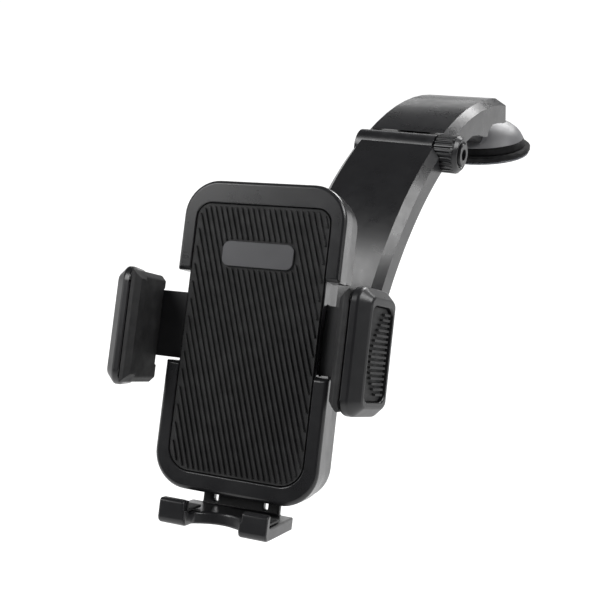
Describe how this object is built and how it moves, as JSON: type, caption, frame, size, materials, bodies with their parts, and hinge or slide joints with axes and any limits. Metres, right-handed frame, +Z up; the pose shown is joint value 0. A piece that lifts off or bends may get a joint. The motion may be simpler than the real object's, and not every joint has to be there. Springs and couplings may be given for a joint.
{
  "type": "car phone mount",
  "caption": "Dashboard phone mount with a suction base, a hinged two-piece arm, a ball joint and a cradle with sliding side clamps and a sliding foot.",
  "frame": {"origin": "centre of the suction base's bottom face", "axes": "+X to the driver's right, +Y away from the driver, +Z up"},
  "size_m": [0.0991, 0.3133, 0.1073],
  "materials": {
    "gel": "clear soft gel",
    "soft_rubber": "matt",
    "steel": "zinc plated",
    "satin_black": "satin moulded",
    "gloss_black": "gloss moulded",
    "inner_plastic": "fine grain",
    "brass": "turned",
    "acetal": "natural",
    "badge_grey": "smooth"
  },
  "bodies": {
    "base": {"gel_pad": "gel", "suction_cup": "soft_rubber", "base_ring": "satin_black", "dome_cover": "gloss_black", "hinge_bracket": "inner_plastic", "bracket_screw_left": "steel", "bracket_screw_right": "steel"},
    "stem": {"pull_stem": "steel"},
    "lever": {"lock_lever": "satin_black", "lever_pin": "steel"},
    "upper_arm": {"upper_arm_shell": "gloss_black", "upper_arm_cover": "inner_plastic", "upper_cover_screw": "steel", "hinge_pin": "steel"},
    "lower_arm": {"lower_arm_shell": "gloss_black", "lower_arm_cover": "inner_plastic", "lower_cover_screw_1": "steel", "lower_cover_screw_2": "steel", "elbow_bolt": "steel", "elbow_washer": "steel", "ball_stud": "satin_black", "stud_screw": "steel"},
    "knob": {"elbow_knob": "satin_black", "knob_nut": "brass"},
    "pan_ring": {"inner_liner": "acetal"},
    "tilt_ring": {"outer_liner": "brass"},
    "cradle": {"rear_housing": "satin_black", "front_frame": "gloss_black", "housing_screw_1": "steel", "housing_screw_2": "steel", "housing_screw_3": "steel", "housing_screw_4": "steel", "centre_pad": "soft_rubber", "blank_badge": "badge_grey", "pinion_spring": "steel"},
    "nut": {"collar_nut": "satin_black"},
    "left_clamp": {"rack_left": "inner_plastic", "jaw_shell_left": "satin_black", "jaw_pad_left": "soft_rubber", "jaw_grip_left": "soft_rubber"},
    "right_clamp": {"rack_right": "inner_plastic", "jaw_shell_right": "satin_black", "jaw_pad_right": "soft_rubber", "jaw_grip_right": "soft_rubber"},
    "pinion": {"clamp_pinion": "acetal"},
    "button": {"release_button": "inner_plastic"},
    "foot": {"foot_bracket": "satin_black", "foot_pad_left": "soft_rubber", "foot_pad_right": "soft_rubber"}
  },
  "joints": [
    {"name": "arm_pitch", "type": "hinge", "parent": "base", "child": "upper_arm", "pos_m": [0, -0.048, 0.0275], "axis": [1, 0, 0], "range_deg": [-14, 50]},
    {"name": "elbow", "type": "hinge", "parent": "upper_arm", "child": "lower_arm", "pos_m": [0, -0.10193, 0.02746], "axis": [1, 0, 0], "range_deg": [-30, 80]},
    {"name": "elbow_knob_turn", "type": "hinge", "parent": "lower_arm", "child": "knob", "pos_m": [0.0176, -0.10193, 0.02746], "axis": [1, 0, 0], "continuous": true},
    {"name": "cradle_pan", "type": "hinge", "parent": "lower_arm", "child": "pan_ring", "pos_m": [0, -0.21121, -0.01456], "axis": [-0.0997, 0.49, 0.866], "range_deg": [-29, 10]},
    {"name": "cradle_tilt", "type": "hinge", "parent": "pan_ring", "child": "tilt_ring", "pos_m": [0, -0.21121, -0.01456], "axis": [0.9799, 0.1994, 0], "range_deg": [-23, 16]},
    {"name": "cradle_roll", "type": "hinge", "parent": "tilt_ring", "child": "cradle", "pos_m": [0, -0.21121, -0.01456], "axis": [0.1727, -0.8486, 0.5], "range_deg": [-90, 90]},
    {"name": "collar_nut_turn", "type": "hinge", "parent": "cradle", "child": "nut", "pos_m": [0, -0.21121, -0.01456], "axis": [0.1727, -0.8486, 0.5], "range_deg": [0, 360]},
    {"name": "left_clamp_slide", "type": "slide", "parent": "cradle", "child": "left_clamp", "axis": [-0.9799, -0.1994, 0], "range_m": [-0.0055, 0.0095]},
    {"name": "right_clamp_slide", "type": "slide", "parent": "cradle", "child": "right_clamp", "axis": [0.9799, 0.1994, 0], "range_m": [-0.0055, 0.0095]},
    {"name": "pinion_spin", "type": "hinge", "parent": "cradle", "child": "pinion", "pos_m": [0.00015, -0.21195, -0.01586], "axis": [0.1727, -0.8486, 0.5], "range_deg": [-63.1, 108.9]},
    {"name": "foot_slide", "type": "slide", "parent": "cradle", "child": "foot", "axis": [0.0997, -0.49, -0.866], "range_m": [-0.004, 0.015]},
    {"name": "release_button_press", "type": "slide", "parent": "cradle", "child": "button", "axis": [0.9799, 0.1994, 0], "range_m": [0, 0.002], "stiffness_N_per_m": 300},
    {"name": "stem_travel", "type": "slide", "parent": "base", "child": "stem", "axis": [0, 0, -1], "range_m": [0, 0.0012]},
    {"name": "lever_lift", "type": "hinge", "parent": "stem", "child": "lever", "pos_m": [0, 0, 0.0147], "axis": [1, 0, 0], "range_deg": [0, 85]}
  ],
  "couplings": [
    {"joint": "right_clamp_slide", "follows": "left_clamp_slide", "ratio": 1},
    {"joint": "pinion_spin", "follows": "left_clamp_slide", "rad_per_m": 200},
    {"joint": "lever_lift", "follows": "stem_travel", "rad_per_m": 1236.2}
  ]
}
